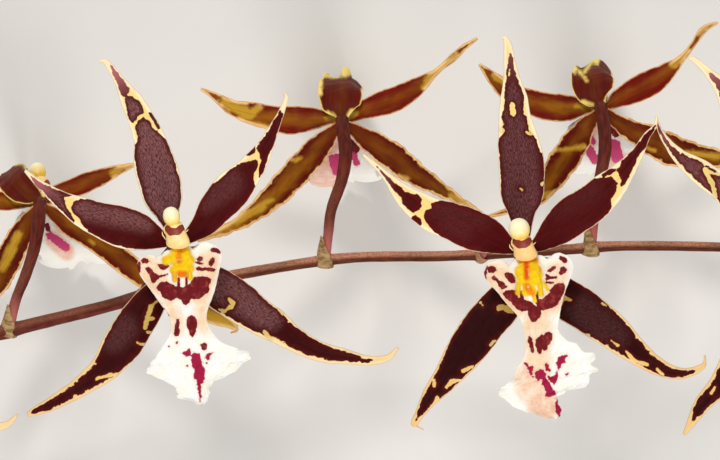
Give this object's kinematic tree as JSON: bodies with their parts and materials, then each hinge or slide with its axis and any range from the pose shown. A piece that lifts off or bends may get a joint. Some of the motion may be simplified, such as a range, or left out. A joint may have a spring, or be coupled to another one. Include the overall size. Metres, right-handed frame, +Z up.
{
  "type": "cambria orchid spray",
  "caption": "Cut flowering spray of a cambria-type orchid, lying down: dark maroon petals with cream edges and white, crimson-spotted lips along an arching stem.",
  "frame": {"origin": "centre of the spray's box, on the surface that it lies on", "axes": "+X along the stem towards its tip, +Y the side that the flower stalks lean to, +Z up, the way that four of the flowers face"},
  "size_m": [0.3619, 0.1204, 0.0896],
  "materials": {
    "tepal": "satin",
    "lip": "satin",
    "column": "satin",
    "cap": "satin",
    "stem": "satin"
  },
  "bodies": {
    "root": {"stem": "stem", "flower_1_dorsal_sepal": "tepal", "flower_1_left_petal": "tepal", "flower_1_right_petal": "tepal", "flower_1_left_sepal": "tepal", "flower_1_right_sepal": "tepal", "flower_1_lip": "lip", "flower_1_column": "column", "flower_1_anther_cap": "cap", "flower_2_dorsal_sepal": "tepal", "flower_2_left_petal": "tepal", "flower_2_right_petal": "tepal", "flower_2_left_sepal": "tepal", "flower_2_right_sepal": "tepal", "flower_2_lip": "lip", "flower_2_column": "column", "flower_2_anther_cap": "cap", "flower_3_dorsal_sepal": "tepal", "flower_3_left_petal": "tepal", "flower_3_right_petal": "tepal", "flower_3_left_sepal": "tepal", "flower_3_right_sepal": "tepal", "flower_3_lip": "lip", "flower_3_column": "column", "flower_3_anther_cap": "cap", "flower_4_dorsal_sepal": "tepal", "flower_4_left_petal": "tepal", "flower_4_right_petal": "tepal", "flower_4_left_sepal": "tepal", "flower_4_right_sepal": "tepal", "flower_4_lip": "lip", "flower_4_column": "column", "flower_4_anther_cap": "cap", "flower_5_dorsal_sepal": "tepal", "flower_5_left_petal": "tepal", "flower_5_right_petal": "tepal", "flower_5_left_sepal": "tepal", "flower_5_right_sepal": "tepal", "flower_5_lip": "lip", "flower_5_column": "column", "flower_5_anther_cap": "cap", "flower_6_dorsal_sepal": "tepal", "flower_6_left_petal": "tepal", "flower_6_right_petal": "tepal", "flower_6_left_sepal": "tepal", "flower_6_right_sepal": "tepal", "flower_6_lip": "lip", "flower_6_column": "column", "flower_6_anther_cap": "cap", "flower_7_dorsal_sepal": "tepal", "flower_7_left_petal": "tepal", "flower_7_right_petal": "tepal", "flower_7_left_sepal": "tepal", "flower_7_right_sepal": "tepal", "flower_7_lip": "lip", "flower_7_column": "column", "flower_7_anther_cap": "cap"}
  },
  "joints": []
}
